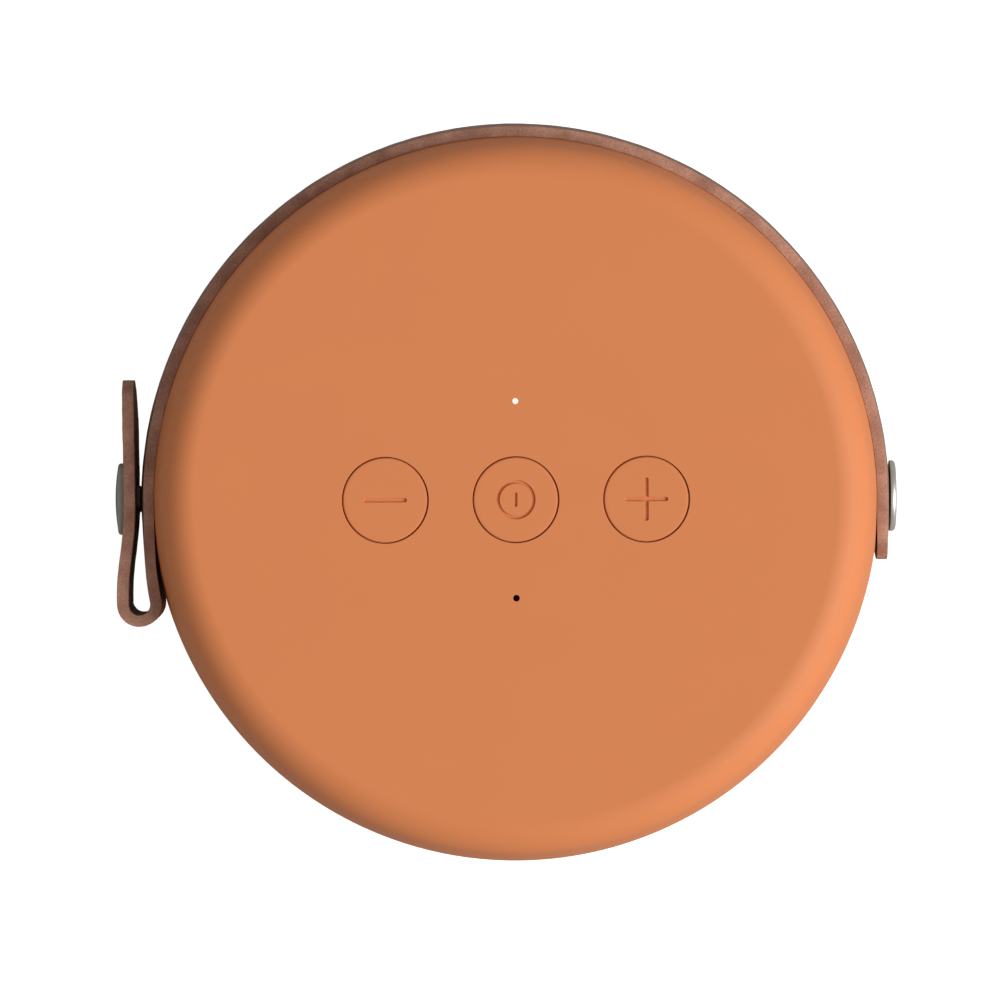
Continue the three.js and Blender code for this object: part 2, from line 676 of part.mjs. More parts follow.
function hugging() {
  const hoop = turned(cuppedSection(), LARGE);
  const sector = new THREE.Shape();
  sector.moveTo(0, 0);
  sector.absarc(0, 0, 2 * BODY_RADIUS, 0, Math.PI + LEAVE_ANGLE);
  return common(hoop, extruded(sector, [STRAP_Z[0] - 1, STRAP_Z[1] + 1], 16));
}

function loopLine(from, to) {
  return steps(from, to, 9).map((a) => new THREE.Vector2(
    LOOP_CENTRE.x + LOOP_RADIUS * Math.cos(a),
    LOOP_CENTRE.y + LOOP_RADIUS * Math.sin(a),
  ));
}

// The outline of a strap end, seen from the side of the speaker.
function endShape([x0, x1], [y0, y1]) {
  const height = y1 - y0;
  const outline = roundedRectangle(height / 2, STRAP_WIDTH / 2, STRAP_CORNER);
  return extruded(outline, [x0, x1], 5)
    .rotateY(RIGHT_ANGLE)
    .rotateX(RIGHT_ANGLE)
    .translate(0, (y0 + y1) / 2, MID);
}

const strapHole = disc(STRAP_HOLE, [60, 70], SMALL);

// The free end below the right stud keeps the cupped section and curves in a little.
function strapTail() {
  const section = new THREE.Shape(cuppedSection().map(([x, z]) => new THREE.Vector2(x, z)));
  const settings = { depth: STRAP_TAIL + 0.05, steps: 6, bevelEnabled: false };
  const tail = new THREE.ExtrudeGeometry(section, settings)
    .translate(0, 0, -0.05)
    .rotateX(RIGHT_ANGLE);
  const points = tail.getAttribute('position');
  for (let i = 0; i < points.count; i += 1) {
    points.setX(i, points.getX(i) - TAIL_BEND * points.getY(i) ** 2);
  }
  return common(tail, endShape([STRAP_IN - 3, STRAP_OUT + 1], [-STRAP_TAIL, STRAP_TAIL]));
}

// Past the left stud the leather flattens, leaves the rim and turns down into the loop.
function strapTurn() {
  const count = 6;
  const onRim = (STRAP_IN + STRAP_OUT) / 2;
  const lift = LOOP_DISTANCE - LOOP_RADIUS - onRim;
  const leaving = steps(0, 1, count).map((t) => {
    const angle = LEAVE_ANGLE - OVERLAP + (LOOP_ANGLE - LEAVE_ANGLE + OVERLAP) * t;
    const radius = onRim + lift * t ** 2;
    return new THREE.Vector2(-radius * Math.cos(angle), -radius * Math.sin(angle));
  });
  const halfLoop = loopLine(LOOP_ANGLE, LOOP_SPLIT - RIGHT_ANGLE).slice(1);
  const thickness = [
    ...steps(STRAP_THICKNESS, FOLD_THICKNESS, count),
    ...halfLoop.map(() => FOLD_THICKNESS),
  ];
  return extruded(thickened([...leaving, ...halfLoop], thickness), STRAP_Z);
}

function strapBand() {
  const leather = join(hugging(), strapTail(), strapTurn());
  return cut(leather, sideways(strapHole, 1), sideways(strapHole, -1));
}

function strapFlap() {
  const halfLoop = loopLine(-RIGHT_ANGLE - LOOP_SPLIT, -Math.PI);
  const start = halfLoop.at(-1);
  const rise = new THREE.CubicBezierCurve(
    start,
    new THREE.Vector2(start.x, start.y / 2),
    new THREE.Vector2(FLAP_X, start.y / 2),
    new THREE.Vector2(FLAP_X, FLAP_STRAIGHT_Y),
  ).getPoints(8).slice(1);
  const line = [...halfLoop, ...rise, new THREE.Vector2(FLAP_X, FLAP_TIP_Y)];
  const band = extruded(thickened(line, FOLD_THICKNESS), STRAP_Z);
  const lowest = LOOP_CENTRE.y - 2 * LOOP_RADIUS - STRAP_CORNER;
  const outline = endShape([FLAP_X - 5, FLAP_X + 5], [lowest, FLAP_TIP_Y]);
  return cut(common(band, outline), sideways(disc(SOCKET_HOLE, [60, 75], 16), -1));
}

// A cap with a flat underside, an upright rim with rounded edges and a slightly domed crown.
function domed(radius, base, rim, apex) {
  const shoulder = 0.35;
  const crown = steps(0.75, 0, 3).map((t) => [t * radius, apex - (apex - rim) * t ** 2]);
  return [
    [radius - shoulder / 2, base], [radius, base + shoulder / 2], [radius, rim - shoulder],
    [radius - 0.3 * shoulder, rim - 0.3 * shoulder], [radius - shoulder, rim], ...crown,
  ];
}

// Profiles of the metal pieces give their distance from the middle of the speaker as the height.
const BOLT = { thread: 1.15, shank: 1.45, inner: 58.6, threadEnd: 63.6, shankStart: 64 };
const threadedEnd = [
  [0, BOLT.inner], [BOLT.thread, BOLT.inner], [BOLT.thread, BOLT.threadEnd],
  [BOLT.shank, BOLT.shankStart],
];
const LEATHER_FACE = STRAP_OUT + 0.1;
const RIVET = { radius: 6.35, rim: 67.85, apex: 68.1 };
const SNAP_CAP = { radius: 6.4, base: 69.85, rim: 71, apex: 71.45 };
const SNAP_SOCKET = { inner: 2.4, outer: 3.6, depth: [68.2, 69.65] };

const STUD_COLLAR = { radius: 2.4, top: 67.95 };
const STUD_HEAD = [[1.5, 67.95], [1.5, 68.4], [1.95, 68.9], [1.6, 69.6], [0, 69.6]];
const INSERT = [1.35, 2.2, [57.6, 62.2]];

function stud(name, side, head) {
  add(name, 'satinMetal', sideways(turned([...threadedEnd, ...head]), side));
}

add('strap_band', 'leather', strapBand());
add('strap_flap', 'leather', strapFlap());
stud('strap_rivet', 1, [
  [BOLT.shank, LEATHER_FACE], ...domed(RIVET.radius, LEATHER_FACE, RIVET.rim, RIVET.apex),
]);
stud('snap_stud', -1, [
  [BOLT.shank, LEATHER_FACE], [STUD_COLLAR.radius, LEATHER_FACE],
  [STUD_COLLAR.radius, STUD_COLLAR.top], ...STUD_HEAD,
]);
const socket = ring(SNAP_SOCKET.inner, SNAP_SOCKET.outer, SNAP_SOCKET.depth);
add('snap_socket', 'satinMetal', sideways(socket, -1));
const snapCap = turned([
  [0, SNAP_CAP.base], ...domed(SNAP_CAP.radius, SNAP_CAP.base, SNAP_CAP.rim, SNAP_CAP.apex),
]);
add('snap_cap', 'satinMetal', sideways(snapCap, -1));
const insert = ring(...INSERT, SMALL);
add('strap_insert_right', 'brass', sideways(insert, 1));
add('strap_insert_left', 'brass', sideways(insert, -1));

export default speaker;
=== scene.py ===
import json
import math

import bmesh
import bpy
from mathutils import Matrix, Vector, noise


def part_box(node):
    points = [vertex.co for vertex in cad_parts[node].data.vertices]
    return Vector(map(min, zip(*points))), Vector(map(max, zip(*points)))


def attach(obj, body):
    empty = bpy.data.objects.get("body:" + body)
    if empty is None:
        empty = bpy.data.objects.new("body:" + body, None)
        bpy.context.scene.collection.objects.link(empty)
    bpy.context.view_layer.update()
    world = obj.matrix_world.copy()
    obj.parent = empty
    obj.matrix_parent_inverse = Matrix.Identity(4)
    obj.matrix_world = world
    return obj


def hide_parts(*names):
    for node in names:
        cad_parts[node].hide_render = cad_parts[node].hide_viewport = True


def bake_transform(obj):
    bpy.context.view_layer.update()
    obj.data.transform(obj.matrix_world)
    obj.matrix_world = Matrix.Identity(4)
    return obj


# A portable round speaker, seen from above. It lies on its grille: +Z comes out of the control face,
# +Y points to the middle of the leather strap and +X to the strap's riveted end.
# Lengths are in millimetres unless a comment says otherwise. The mesh helpers turn them into metres.
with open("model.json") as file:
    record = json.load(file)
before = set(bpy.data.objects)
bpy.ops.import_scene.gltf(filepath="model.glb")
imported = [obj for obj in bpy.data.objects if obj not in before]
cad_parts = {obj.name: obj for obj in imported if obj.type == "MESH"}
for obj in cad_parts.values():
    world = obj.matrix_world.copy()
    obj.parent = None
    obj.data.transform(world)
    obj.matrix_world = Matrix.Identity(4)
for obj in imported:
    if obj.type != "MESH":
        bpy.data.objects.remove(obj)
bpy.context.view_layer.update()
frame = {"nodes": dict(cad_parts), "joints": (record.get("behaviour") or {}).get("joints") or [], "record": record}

MM = 0.001
TURN = 2 * math.pi
QUARTER = math.pi / 2


def box_mm(node):
    """Low and high corner of a CAD node's box."""
    low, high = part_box(node)
    return low / MM, high / MM


def centre_mm(node):
    """Centre of a CAD node's box."""
    low, high = box_mm(node)
    return (low + high) / 2


# ------------------------------------------------------------------ sizes

shell_low, shell_high = box_mm("control_shell")
BODY_RADIUS = (shell_high.x - shell_low.x) / 2
BODY_DEPTH = shell_high.z
MID = BODY_DEPTH / 2
SEAM_TOP = shell_low.z
SEAM_BOTTOM = box_mm("rear_ring")[1].z
FLAT_RADIUS = 56.8  # of the flat part of both faces
WALL = 2.2
FACE_INSIDE = BODY_DEPTH - WALL

# The rounded edge touches the flat face and the ball that the rim is a slice of.
EDGE_RADIUS = (BODY_RADIUS**2 - FLAT_RADIUS**2 - MID**2) / (2 * (BODY_RADIUS - MID))
EDGE_CENTRE = MID - EDGE_RADIUS  # height above or below mid depth
EDGE_START = math.atan2(EDGE_CENTRE, FLAT_RADIUS)

BUTTONS = {"minus": "minus_button", "power": "power_button", "plus": "plus_button"}
CAP_RADIUS = 7.36
CAP_ROUND = 0.1  # rounding of a cap's top edge and of the hole round it
CAP_SKIRT = 0.42  # depth at which a cap widens to fill its hole
SKIRT_GAP = 0.12
HOLE_RADIUS = 7.64
ICON_DEPTH = 0.45
ICON_LENGTH = 7.6
ICON_WIDTH = 0.72
POWER_RING = (2.85, 3.45)  # inner and outer radius of the power icon's circle
POWER_BAR = (2.5, 0.5)  # length and width of its bar
LAMP = centre_mm("light_pipe")
LAMP_HOLE = 0.53  # radius
LENS_RADIUS = 0.44
MICROPHONE = centre_mm("mic_gasket")
MICROPHONE_HOLE = 0.58  # radius

strap_low, strap_high = box_mm("strap_band")
STRAP_HALF_WIDTH = (strap_high.z - strap_low.z) / 2
STRAP_IN = BODY_RADIUS + 0.04  # inner radius, a hair off the rim
ROUGHNESS_ROOM = 0.08  # left for the unevenness of the leather, inside the strap's box
STRAP_THICKNESS = strap_high.x - STRAP_IN - ROUGHNESS_ROOM  # pulled tight round the rim
FOLD_THICKNESS = 2.05  # in the loop and the flap
STRAP_TAIL = 11.4  # from the rivet to the free end
TAIL_BEND = 0.003  # how fast the tail curves in, per millimetre below the stud
STRAP_EDGE = 0.2  # rounding of the cut edges on the grain side
BACK_EDGE = 0.07  # rounding of the cut edges on the back
END_RADIUS = STRAP_HALF_WIDTH  # both ends are half round
LEAVE_ANGLE = math.radians(4)  # past the left stud, where the strap starts to leave the rim
LOOP_RADIUS = 2.95  # of the middle of the leather
FLAP_X = -68.57  # of the middle of the flap's leather, at the stud
FLAP_LEAN = 0.0009  # how fast the flap leans out, per millimetre above the stud
FLAP_STRAIGHT_Y = -1.5  # where the flap has turned straight up
FLAP_TIP_Y = box_mm("strap_flap")[1].y

hinge = next(joint for joint in frame["joints"] if joint["name"] == "flap_open")["pos_m"]
LOOP_CENTRE = Vector((hinge[0] / MM, hinge[1] / MM + LOOP_RADIUS + FOLD_THICKNESS / 2))
LOOP_ANGLE = math.atan2(-LOOP_CENTRE.y, -LOOP_CENTRE.x)  # past the left stud, where the loop starts

SIDES = 256  # round the body
SMALL_SIDES = 96


# ------------------------------------------------------------------ mesh helpers


def arc(centre, radius, start, end, steps):
    """Points on a circle in a plane, from one angle to another."""
    angles = [start + (end - start) * i / steps for i in range(steps + 1)]
    return [(centre[0] + radius * math.cos(a), centre[1] + radius * math.sin(a)) for a in angles]


def rounded(corners, steps=4):
    """An outline through corners (x, y) or (x, y, radius). A third value rounds that corner."""
    outline = []
    for i, corner in enumerate(corners):
        point = Vector(corner[:2])
        if len(corner) == 2:
            outline.append(tuple(point))
            continue
        before = (Vector(corners[i - 1][:2]) - point).normalized()
        after = (Vector(corners[(i + 1) % len(corners)][:2]) - point).normalized()
        half = before.angle(after) / 2
        centre = point + (before + after).normalized() * corner[2] / math.sin(half)
        first = point + before * corner[2] / math.tan(half) - centre
        sweep = first.angle_signed(point + after * corner[2] / math.tan(half) - centre)
        start = math.atan2(first.y, first.x)
        outline += arc(centre, corner[2], start, start - sweep, steps)
    return outline


def loft(bm, sections, closed=False):
    """Skins matching closed sections, which are lists of points in millimetres.
    Both ends get a flat cap, or the last section joins the first if closed.
    A section of one point is a tip."""
    rings = [[bm.verts.new(Vector(p) * MM) for p in section] for section in sections]
    pairs = list(zip(rings, rings[1:]))
    if closed:
        pairs.append((rings[-1], rings[0]))
    for lower, upper in pairs:
        for i in range(max(len(lower), len(upper))):
            below = [lower[i % len(lower)], lower[(i + 1) % len(lower)]]
            above = [upper[(i + 1) % len(upper)], upper[i % len(upper)]]
            bm.faces.new(list(dict.fromkeys(below + above)))
    if not closed:
        for ring in (rings[0], rings[-1]):
            if len(ring) > 2:
                bm.faces.new(ring)
    bmesh.ops.recalc_face_normals(bm, faces=bm.faces)


def turned(profile, sides, centre=(0, 0), closed=False, placed=None):
    """A body turned about an upright axis through centre, from (radius, height) pairs."""
    sections = []
    for radius, height in profile:
        angles = [TURN * i / sides for i in range(sides)] if radius > 0 else [0]
        sections.append([
            (centre[0] + radius * math.cos(a), centre[1] + radius * math.sin(a), height) for a in angles
        ])
    bm = bmesh.new()
    loft(bm, sections, closed)
    if placed:
        bm.transform(placed)
    return bm


def sideways(side):
    """Lays a turned body along X at mid depth: its height becomes the distance from the middle."""
    return Matrix.Translation((0, 0, MID * MM)) @ Matrix.Rotation(side * QUARTER, 4, "Y")


def stadium(half_length, half_width, grow=0.0, steps=10):
    """A slot outline with round ends."""
    radius = half_width + grow
    reach = half_length - half_width
    return arc((reach, 0), radius, -QUARTER, QUARTER, steps) + arc(
        (-reach, 0), radius, QUARTER, 3 * QUARTER, steps
    )


def to_object(name, bm):
    mesh = bpy.data.meshes.new(name)
    bm.to_mesh(mesh)
    bm.free()
    made = bpy.data.objects.new(name, mesh)
    bpy.context.scene.collection.objects.link(made)
    return made


def combined(parts):
    """One mesh that holds all the parts, which are used up."""
    whole = bmesh.new()
    for part in parts:
        mesh = bpy.data.meshes.new("part")
        part.to_mesh(mesh)
        part.free()
        whole.from_mesh(mesh)
        bpy.data.meshes.remove(mesh)
    return whole


def carve(target, parts, operation="DIFFERENCE"):
    """Cuts the parts out of a piece, or joins them to it with UNION. The parts are used up."""
    tool = to_object("tool", combined(parts))
    modifier = target.modifiers.new("carve", "BOOLEAN")
    modifier.operation = operation
    modifier.solver = "EXACT"
    modifier.object = tool
    graph = bpy.context.evaluated_depsgraph_get()
    mesh = bpy.data.meshes.new_from_object(target.evaluated_get(graph))
    target.modifiers.clear()
    target.data = mesh
    bpy.data.objects.remove(tool)


def shade(target, sharp_degrees=32, flat_faces=False):
    """Smooth shading with sharp edges kept. flat_faces lets large flat faces set their own shading."""
    bm = bmesh.new()
    bm.from_mesh(target.data)
    for face in bm.faces:
        face.smooth = True
    for edge in bm.edges:
        edge.smooth = edge.calc_face_angle(0) < math.radians(sharp_degrees)
    bm.to_mesh(target.data)
    bm.free()
    if flat_faces:
        modifier = target.modifiers.new("flat_faces", "WEIGHTED_NORMAL")
        modifier.keep_sharp = True


def settle(piece, body, slot, *materials, replaces=()):
    """Gives a finished piece its materials and its moving body, and hides the CAD nodes it stands for."""
    for material in materials:
        piece.data.materials.append(material)
    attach(piece, body)
    if replaces:
        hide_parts(*replaces)
    return piece


# ------------------------------------------------------------------ materials


class Finish:
    """A procedural material. Textures are placed in the object's own space, with sizes in millimetres."""

    def __init__(self, name, roughness=0.5, metallic=0.0, **sockets):
        self.material = bpy.data.materials.new(name)
        self.material.use_nodes = True
        self.tree = self.material.node_tree
        self.shader = self.tree.nodes["Principled BSDF"]
        self.shader.inputs["Roughness"].default_value = roughness
        self.shader.inputs["Metallic"].default_value = metallic
        for socket, value in sockets.items():
            self.shader.inputs[socket.replace("_", " ")].default_value = value
        self.place = self.node("ShaderNodeTexCoord").outputs["Object"]
        self.normal = None

    def node(self, kind, links=None, **settings):
        made = self.tree.nodes.new(kind)
        for name, value in settings.items():
            setattr(made, name, value)
        for socket, source in (links or {}).items():
            if isinstance(source, bpy.types.NodeSocket):
                self.tree.links.new(source, made.inputs[socket])
            else:
                made.inputs[socket].default_value = source
        return made

    def stretched(self, scale):
        """Object coordinates scaled unevenly, for grain that runs one way."""
        return self.node("ShaderNodeMapping", {"Vector": self.place, "Scale": scale}).outputs["Vector"]

    def grain(self, size, detail=3.0, roughness=0.5, place=None):
        """Noise whose blobs are about size across."""
        return self.node("ShaderNodeTexNoise", {
            "Vector": place or self.place,
            "Scale": 1 / (size * MM),
            "Detail": detail,
            "Roughness": roughness,
        }).outputs["Fac"]

    def cells(self, size):
        """Small cells with grooves between them."""
        made = self.node("ShaderNodeTexVoronoi", {"Vector": self.place}, feature="DISTANCE_TO_EDGE")
        made.inputs["Scale"].default_value = 1 / (size * MM)
        return made.outputs["Distance"]

    def ridges(self, pitch, direction):
        """Parallel ridges, one every pitch."""
        made = self.node("ShaderNodeTexWave", {"Vector": self.place}, bands_direction=direction)
        waves_per_metre = 20 / TURN  # at scale 1
        made.inputs["Scale"].default_value = 1 / (waves_per_metre * pitch * MM)
        return made.outputs["Fac"]

    def product(self, a, b):
        return self.node("ShaderNodeMath", {0: a, 1: b}, operation="MULTIPLY").outputs[0]

    def colour(self, pattern, dark, light, low=0.3, high=0.7):
        """Base colour that runs from dark, where the pattern is low, to light, where it is high."""
        ramp = self.node("ShaderNodeValToRGB", {"Fac": pattern})
        ramp.color_ramp.elements[0].position = low
        ramp.color_ramp.elements[1].position = high
        ramp.color_ramp.elements[0].color = (*dark, 1)
        ramp.color_ramp.elements[1].color = (*light, 1)
        self.tree.links.new(ramp.outputs["Color"], self.shader.inputs["Base Color"])
        return self

    def roughness(self, pattern, low, high):
        """Roughness that follows the pattern between two values."""
        spread = self.node("ShaderNodeMapRange", {"Value": pattern, "To Min": low, "To Max": high})
        self.tree.links.new(spread.outputs["Result"], self.shader.inputs["Roughness"])
        return self

    def relief(self, pattern, height, strength=1.0):
        """Raises the pattern by height. A second relief lies on top of the first."""
        bump = self.node("ShaderNodeBump", {"Height": pattern, "Distance": height * MM, "Strength": strength})
        if self.normal:
            self.tree.links.new(self.normal, bump.inputs["Normal"])
        self.normal = bump.outputs["Normal"]
        self.tree.links.new(self.normal, self.shader.inputs["Normal"])
        return self


def soft_touch():
    """Terracotta rubber paint over plastic: matt, with a very fine stipple and faint clouding."""
    made = Finish("soft_touch", Specular_IOR_Level=0.35)
    clouds = made.grain(14, detail=4)
    made.colour(clouds, (0.686, 0.222, 0.077), (0.696, 0.226, 0.079))
    stipple = made.grain(0.22, detail=2)
    made.roughness(stipple, 0.56, 0.7)
    made.relief(stipple, 0.008)
    return made.material


def leather_grain():
    """The flat sides of the leather: pores and a fine tooth over cloudy dye."""
    made = Finish("leather_grain", Specular_IOR_Level=0.4)
    dye = made.product(made.grain(7, detail=5), made.grain(0.9, detail=4))
    made.colour(dye, (0.23, 0.112, 0.073), (0.36, 0.185, 0.122), low=0.12, high=0.42)
    pores = made.cells(0.75)
    made.roughness(made.grain(1.4, detail=4), 0.42, 0.68)
    made.relief(pores, 0.05, strength=0.6)
    made.relief(made.grain(0.16, detail=2), 0.02)
    return made.material


def leather_edge():
    """The cut edge: pressed fibres, speckled light and dark."""
    made = Finish("leather_edge", Specular_IOR_Level=0.3)
    fibres = made.grain(0.34, detail=5, roughness=0.65)
    dye = made.product(fibres, made.grain(5, detail=3))
    made.colour(dye, (0.25, 0.113, 0.07), (0.57, 0.305, 0.215), low=0.1, high=0.42)
    made.roughness(fibres, 0.55, 0.85)
    made.relief(fibres, 0.09)
    return made.material


def satin_metal(name, dark, light):
    """Nickel-plated brass, finely brushed."""
    made = Finish(name, metallic=1.0)
    brushing = made.grain(0.5, detail=3, place=made.stretched((1, 1, 14)))
    made.colour(made.grain(3, detail=3), dark, light)
    made.roughness(brushing, 0.36, 0.5)
    made.relief(brushing, 0.004)
    return made.material


def shade_dark_metal():
    """The snap's brass made nearly black: painted shade for the shadowed neck between strap and flap, with a faint
    random mottle.
    """
    made = Finish("shade_dark_metal", metallic=1.0)
    tarnish = made.grain(0.8, detail=3)
    made.colour(tarnish, (0.1, 0.07, 0.055), (0.17, 0.125, 0.1))
    made.roughness(tarnish, 0.35, 0.5)
    made.relief(made.grain(0.3), 0.006)
    return made.material


def plain(name, dark, light, rough, grain_size=0.5, height=0.01, metallic=0.0):
    """A simple finish: two close shades, a little roughness change and a fine relief."""
    made = Finish(name, metallic=metallic)
    pattern = made.grain(grain_size)
    made.colour(pattern, dark, light)
    made.roughness(made.grain(2 * grain_size, detail=4), *rough)
    made.relief(pattern, height)
    return made.material


def woven(name, dark, light, pitch, height):
    """Plain weave: threads that run across each other."""
    made = Finish(name, roughness=0.9, Sheen_Weight=0.2)
    threads = made.product(made.ridges(pitch, "X"), made.ridges(pitch, "Y"))
    made.colour(threads, dark, light, low=0.0, high=0.8)
    made.relief(threads, height)
    made.relief(made.grain(0.12), 0.03)
    return made.material


def lamp_white():
    """Frosted white plastic, lit from inside."""
    made = Finish("lamp_white", roughness=0.35)
    glow = made.grain(0.3, detail=2)
    made.colour(glow, (0.93, 0.88, 0.82), (0.98, 0.94, 0.9))
    made.shader.inputs["Emission Color"].default_value = (1, 0.93, 0.86, 1)
    made.shader.inputs["Emission Strength"].default_value = 0.55
    made.relief(glow, 0.004)
    return made.material


def ribbon_cable():
    """Amber film with copper tracks under it."""
    made = Finish("ribbon_cable")
    tracks = made.ridges(0.8, "X")
    made.colour(tracks, (0.42, 0.19, 0.04), (0.6, 0.32, 0.09))
    made.roughness(made.grain(2), 0.3, 0.45)
    made.relief(tracks, 0.02)
    return made.material


SLOT_MATERIALS = {
    "shell": soft_touch(),
    "leather": leather_grain(),
    "satin_metal": satin_metal("satin_metal", (0.66, 0.63, 0.58), (0.74, 0.71, 0.66)),
    "grille_cloth": woven("grille_weave", (0.1, 0.04, 0.022), (0.3, 0.12, 0.065), 0.55, 0.12),
    "black_plastic": plain("black_plastic", (0.012, 0.012, 0.013), (0.022, 0.022, 0.024), (0.5, 0.65)),
    "steel": plain("steel", (0.55, 0.56, 0.58), (0.66, 0.67, 0.69), (0.25, 0.4), 0.6, 0.004, 1.0),
    "brass": plain("brass", (0.62, 0.42, 0.16), (0.72, 0.52, 0.22), (0.25, 0.4), 0.4, 0.006, 1.0),
    "rubber": plain("rubber", (0.014, 0.014, 0.015), (0.025, 0.025, 0.027), (0.75, 0.9), 0.3),
    "circuit_board": plain("circuit_board", (0.006, 0.06, 0.024), (0.012, 0.1, 0.045), (0.35, 0.5), 1.2),
    "ferrite": plain("ferrite", (0.03, 0.03, 0.033), (0.055, 0.055, 0.06), (0.55, 0.75), 0.4, 0.02),
    "copper": woven("copper_winding", (0.3, 0.1, 0.03), (0.62, 0.25, 0.1), 0.3, 0.05),
    "cone_paper": plain("cone_paper", (0.016, 0.016, 0.017), (0.032, 0.032, 0.034), (0.8, 0.95), 0.7, 0.04),
    "spider_cloth": woven("spider_cloth", (0.3, 0.2, 0.07), (0.46, 0.33, 0.14), 0.5, 0.08),
    "clear_plastic": plain("clear_plastic", (0.85, 0.83, 0.8), (0.92, 0.9, 0.87), (0.15, 0.25)),
    "battery_wrap": plain("battery_wrap", (0.02, 0.08, 0.22), (0.035, 0.12, 0.3), (0.25, 0.4), 3),
    "ribbon": ribbon_cable(),
    "wire": plain("wire_sleeve", (0.2, 0.012, 0.01), (0.3, 0.02, 0.016), (0.4, 0.55), 0.8),
}
LEATHER = (SLOT_MATERIALS["leather"], leather_edge())  # flat sides, cut edge
LAMP_WHITE = lamp_white()
# Painted shade: the near-black mesh behind the microphone's hole keeps the hole dark.
SHADE_BLACK_MESH = woven("shade_black_screen", (0.004, 0.004, 0.004), (0.02, 0.018, 0.016), 0.12, 0.03)
# Painted shade: the snap's stud and socket are nearly black so that the neck between strap and flap reads as
# shadow.
SHADE_DARK_METAL = shade_dark_metal()
# Painted shade: a darker copy of the satin metal for the snap cap, which lies on the side away from the key light.
SHADED_SATIN_METAL = satin_metal("shaded_satin_metal", (0.34, 0.33, 0.3), (0.42, 0.41, 0.37))


def dress_cad_nodes():
    """Gives every CAD node the material of its slot in the record."""
    for row in frame["record"]["subparts"]:
        node = frame["nodes"][row["node"]]
        for slot in node.material_slots:
            slot.material = SLOT_MATERIALS[row["material_slot"]]


# ------------------------------------------------------------------ shells


def skin(inset, height, side, rim_steps, edge_steps):
    """The wall from a height on the rim to the flat face (side 1 control face, -1 grille face)."""
    ball = BODY_RADIUS - inset
    start = math.asin((height - MID) / ball)
    rim = arc((0, MID), ball, start, side * EDGE_START, rim_steps)
    centre = (FLAT_RADIUS, MID + side * EDGE_CENTRE)
    edge = arc(centre, EDGE_RADIUS - inset, side * EDGE_START, side * QUARTER, edge_steps)
    return rim + edge[1:]


SEAM_ROUND = 0.3
SEAM_CORNER = 0.27  # rounding of the corner itself, just inside SEAM_ROUND
LEDGE = {"inner": 57.5, "low": 12.0, "high": 14.0}
BURIED = 0.4  # how far a post runs into the wall it stands on


def four_corners(x, y):
    return [(x, y), (-x, y), (-x, -y), (x, -y)]


SCREW_POSTS = {
    "corners": four_corners(40.3, 40.3), "radius": 3.2, "low": LEDGE["low"],
    "pilot": 1.05, "pilot_high": 24, "sides": 48,
}
BOARD_POSTS = {
    "corners": four_corners(30, 19), "radius": 2.4, "low": 36,
    "pilot": 0.85, "pilot_high": FACE_INSIDE - 0.4, "sides": 32,
}
STUD_BOSS = {"radius": 4, "inner": 56.9, "outer": BODY_RADIUS - 1.5}
STUD_BORE = {"insert": 2.45, "insert_end": 62.4, "shank": 1.75}


def rim_radius(height, inset=0.0):
    """Radius of the rim at a height, or of a layer below its surface."""
    return math.sqrt((BODY_RADIUS - inset) ** 2 - (height - MID) ** 2)


def shell_blank():
    """The control shell before its holes: a cup with a ledge inside."""
    outside = skin(0, SEAM_TOP + SEAM_ROUND, 1, 12, 20)
    inside = skin(WALL, LEDGE["high"], 1, 6, 8)
    ledge = [
        (LEDGE["inner"], LEDGE["high"]),
        (LEDGE["inner"], LEDGE["low"]),
        (rim_radius(LEDGE["low"], WALL), LEDGE["low"]),
    ]
    lip = rounded([
        (rim_radius(SEAM_TOP, WALL), SEAM_TOP),
        (rim_radius(SEAM_TOP), SEAM_TOP, SEAM_CORNER),
        outside[0],
    ])[:-1]
    flat_ring = FLAT_RADIUS - 0.8
    wall = inside[::-1] + ledge + lip + outside
    return turned([(flat_ring, FACE_INSIDE)] + wall + [(flat_ring, BODY_DEPTH)], SIDES)


def flared(radius, round_over, low, high, centre, sides=SMALL_SIDES):
    """A cutter for a round hole whose rim at height high is rounded over. The rounding stops just
    short of flat and runs straight on, so that it crosses the face at a clean angle."""
    last = math.radians(78)
    edge = arc((radius + round_over, high - round_over), round_over, math.pi, math.pi - last, 5)
    run = 0.3 * round_over
    lip = (edge[-1][0] + run * math.sin(last), edge[-1][1] + run * math.cos(last))
    return turned([(radius, low), *edge, lip, (lip[0], high + 1)], sides, centre)


def slot_loft(half_length, half_width, levels, steps=10):
    """A body through slot outlines that face -Y at mid depth, from (growth, y) pairs."""
    bm = bmesh.new()
    loft(bm, [
        [(x, y, MID + z) for x, z in stadium(half_length, half_width, grow, steps)] for grow, y in levels
    ])
    return bm


def usb_cutter():
    """The socket's opening in the rim, slightly flared outwards."""
    low, high = box_mm("usb_port")
    clearance = 0.32
    rim = -BODY_RADIUS
    levels = [
        (clearance, -58), (clearance, rim + 0.55), (clearance + 0.12, rim + 0.3),
        (clearance + 0.6, rim - 0.3),
    ]
    return slot_loft((high.x - low.x) / 2, (high.z - low.z) / 2, levels)


def shell_posts():
    """Screw posts, board posts and the two bosses that hold the strap's studs."""
    parts = []
    for posts in (SCREW_POSTS, BOARD_POSTS):
        profile = [(posts["radius"], posts["low"]), (posts["radius"], FACE_INSIDE + BURIED)]
        parts += [turned(profile, posts["sides"], corner) for corner in posts["corners"]]
    boss = [(STUD_BOSS["radius"], STUD_BOSS["inner"]), (STUD_BOSS["radius"], STUD_BOSS["outer"])]
    return parts + [turned(boss, 48, placed=sideways(side)) for side in (1, -1)]


